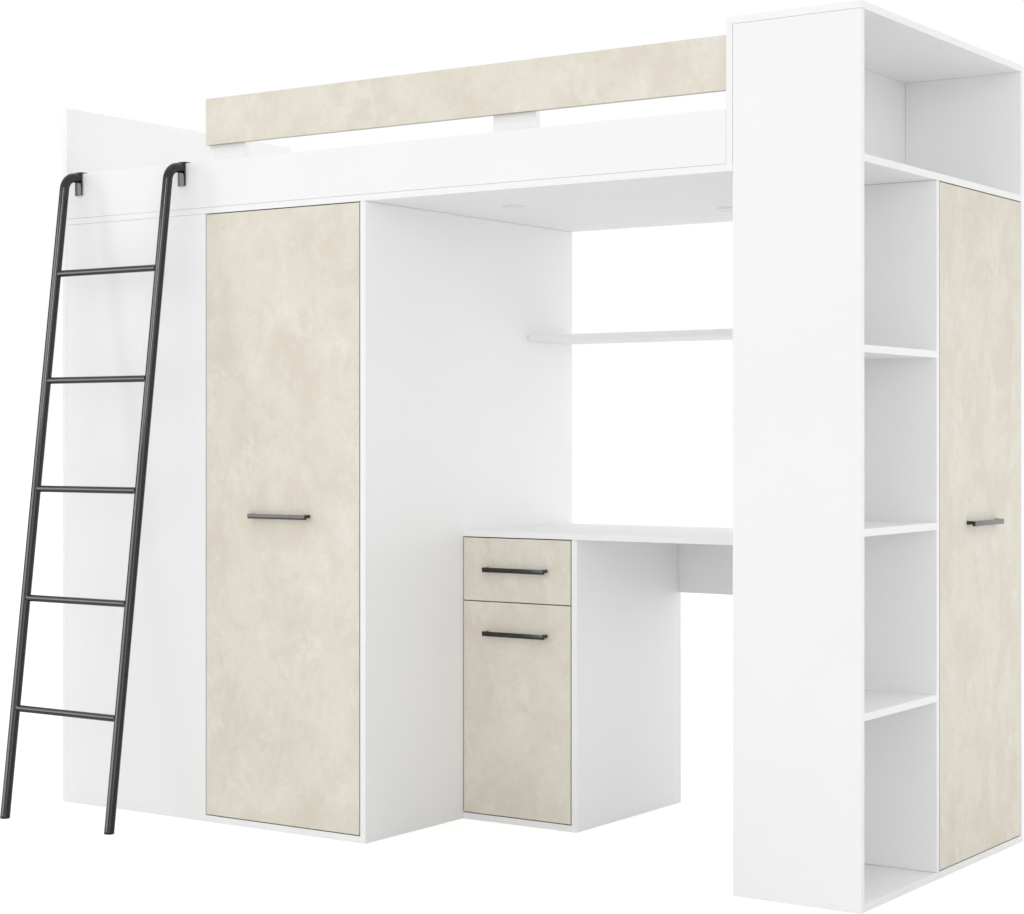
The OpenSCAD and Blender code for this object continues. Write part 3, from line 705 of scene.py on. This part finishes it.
def studio_floor():
    """A pale floor that burns out to white as a paper sweep does, with a faint shadow under the object."""
    material = bpy.data.materials.new("studio_floor")
    material.use_nodes = True
    tree = material.node_tree
    tree.nodes.clear()
    seen = tree.nodes.new("ShaderNodeLightPath").outputs["Is Camera Ray"]
    shades = []
    for level in (FLOOR_SHADE, FLOOR_BOUNCE):
        shade = tree.nodes.new("ShaderNodeBsdfDiffuse")
        shade.inputs["Color"].default_value = (level, level, level, 1)
        shades.append(shade.outputs[0])
    glow = tree.nodes.new("ShaderNodeEmission")
    glow.inputs["Strength"].default_value = FLOOR_GLOW
    sweep = tree.nodes.new("ShaderNodeAddShader")
    tree.links.new(shades[0], sweep.inputs[0])
    tree.links.new(glow.outputs[0], sweep.inputs[1])
    pick = tree.nodes.new("ShaderNodeMixShader")
    tree.links.new(seen, pick.inputs[0])
    tree.links.new(shades[1], pick.inputs[1])
    tree.links.new(sweep.outputs[0], pick.inputs[2])
    end = tree.nodes.new("ShaderNodeOutputMaterial")
    tree.links.new(pick.outputs[0], end.inputs["Surface"])
    return material


def studio_world():
    """White to the camera, and a soft tent of light to all else. What is mirrored has a dark left side."""
    world = bpy.data.worlds.new("studio")
    bpy.context.scene.world = world
    world.use_nodes = True
    tree = world.node_tree
    direction = tree.nodes.new("ShaderNodeTexCoord").outputs["Generated"]
    rays = tree.nodes.new("ShaderNodeLightPath")

    # TENT_LEVEL * (1 + TENT_TILT . direction)
    dot = tree.nodes.new("ShaderNodeVectorMath")
    dot.operation = "DOT_PRODUCT"
    tree.links.new(direction, dot.inputs[0])
    dot.inputs[1].default_value = [TENT_LEVEL * t for t in TENT_TILT]
    tent = tree.nodes.new("ShaderNodeMath")
    tree.links.new(dot.outputs["Value"], tent.inputs[0])
    tent.inputs[1].default_value = TENT_LEVEL

    split = tree.nodes.new("ShaderNodeSeparateXYZ")
    tree.links.new(direction, split.inputs[0])
    mirrored = tree.nodes.new("ShaderNodeMapRange")
    mirrored.interpolation_type = "SMOOTHSTEP"
    tree.links.new(split.outputs["X"], mirrored.inputs["Value"])
    ends = ("From Min", "From Max", "To Min", "To Max")
    for socket, value in zip(ends, LEFT_SIDE + MIRRORED):
        mirrored.inputs[socket].default_value = value

    def choose(ray, otherwise, then):
        pick = tree.nodes.new("ShaderNodeMix")
        tree.links.new(rays.outputs[ray], pick.inputs[0])
        tree.links.new(otherwise, pick.inputs[2])
        if isinstance(then, float):
            pick.inputs[3].default_value = then
        else:
            tree.links.new(then, pick.inputs[3])
        return pick.outputs[0]

    light = choose("Is Glossy Ray", tent.outputs[0], mirrored.outputs["Result"])
    light = choose("Is Camera Ray", light, 1.0)
    tree.nodes["Background"].inputs["Color"].default_value = (1, 1, 1, 1)
    tree.links.new(light, tree.nodes["Background"].inputs["Strength"])


floor_bm = bmesh.new()
bmesh.ops.create_grid(floor_bm, x_segments=2, y_segments=2, size=60)
floor = to_object(floor_bm, "studio_floor", [studio_floor()])
floor.location.z = -0.5 * MM

studio_world()

black_metal = bpy.data.collections.new("black_metal")
for o in list(bpy.data.objects):
    if any(slot.material in (handle_coat, tube_coat) for slot in o.material_slots):
        black_metal.objects.link(o)


def softbox(name, place, target, width, height, power, only=None):
    """A rectangular area light. only is the collection it shines on."""
    data = bpy.data.lights.new(name, "AREA")
    data.shape = "RECTANGLE"
    data.size, data.size_y = width, height
    data.energy = power
    lamp = bpy.data.objects.new(name, data)
    lamp.location = place
    lamp.rotation_euler = (Vector(target) - Vector(place)).to_track_quat("-Z", "Y").to_euler()
    bpy.context.scene.collection.objects.link(lamp)
    if only:
        lamp.light_linking.receiver_collection = only


# Soft light from beside the camera
fill_data = bpy.data.lights.new("fill", "SUN")
fill_data.energy = FILL_ENERGY
fill_data.angle = FILL_SPREAD
fill = bpy.data.objects.new("fill", fill_data)
fill.rotation_euler = Vector(FILL_HEADING).to_track_quat("-Z", "Y").to_euler()
bpy.context.scene.collection.objects.link(fill)

# Low light on both flanks, and one through the open back
softbox("strip_left", (-4.2, -2.6, 1.4), (-0.9, -0.5, 1.0), 0.5, 3.2, 14)
softbox("strip_right", (2.6, -3.0, 1.4), (-0.9, -0.5, 1.0), 0.5, 3.2, 3)
softbox("back_right", (1.2, 2.6, 0.7), (-0.1, 0.3, 0.6), 2.0, 1.5, 7)

# Boxes that only the black metal mirrors, for the bright lines on its tubes and handles
softbox("gleam_left", (-3.18, -4.49, 1.6), (-1.1, -0.5, 1.6), 3.7, 3.2, 160, black_metal)
softbox("gleam_top", (0.25, -4.55, 2.7), (-1.1, -0.5, 1.4), 0.7, 1.25, 42, black_metal)
softbox("gleam_behind", (2.6, 4.1, 1.0), (1.2, 0.3, 1.0), 2.0, 2.4, 3, black_metal)

tower_low, tower_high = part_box("tower_front_panel")
camera_data = bpy.data.cameras.new("camera")
camera_data.sensor_width = 36.0
camera_data.lens = CAMERA_LENS
camera_data.shift_x, camera_data.shift_y = CAMERA_SHIFT
camera = bpy.data.objects.new("camera", camera_data)
camera.location = Vector((tower_high.x, tower_low.y, 0)) + Vector(CAMERA_PLACE)
camera.rotation_euler = (math.radians(90), 0, CAMERA_TURN)
bpy.context.scene.collection.objects.link(camera)
bpy.context.scene.camera = camera
bpy.context.scene.view_settings.view_transform = "Standard"
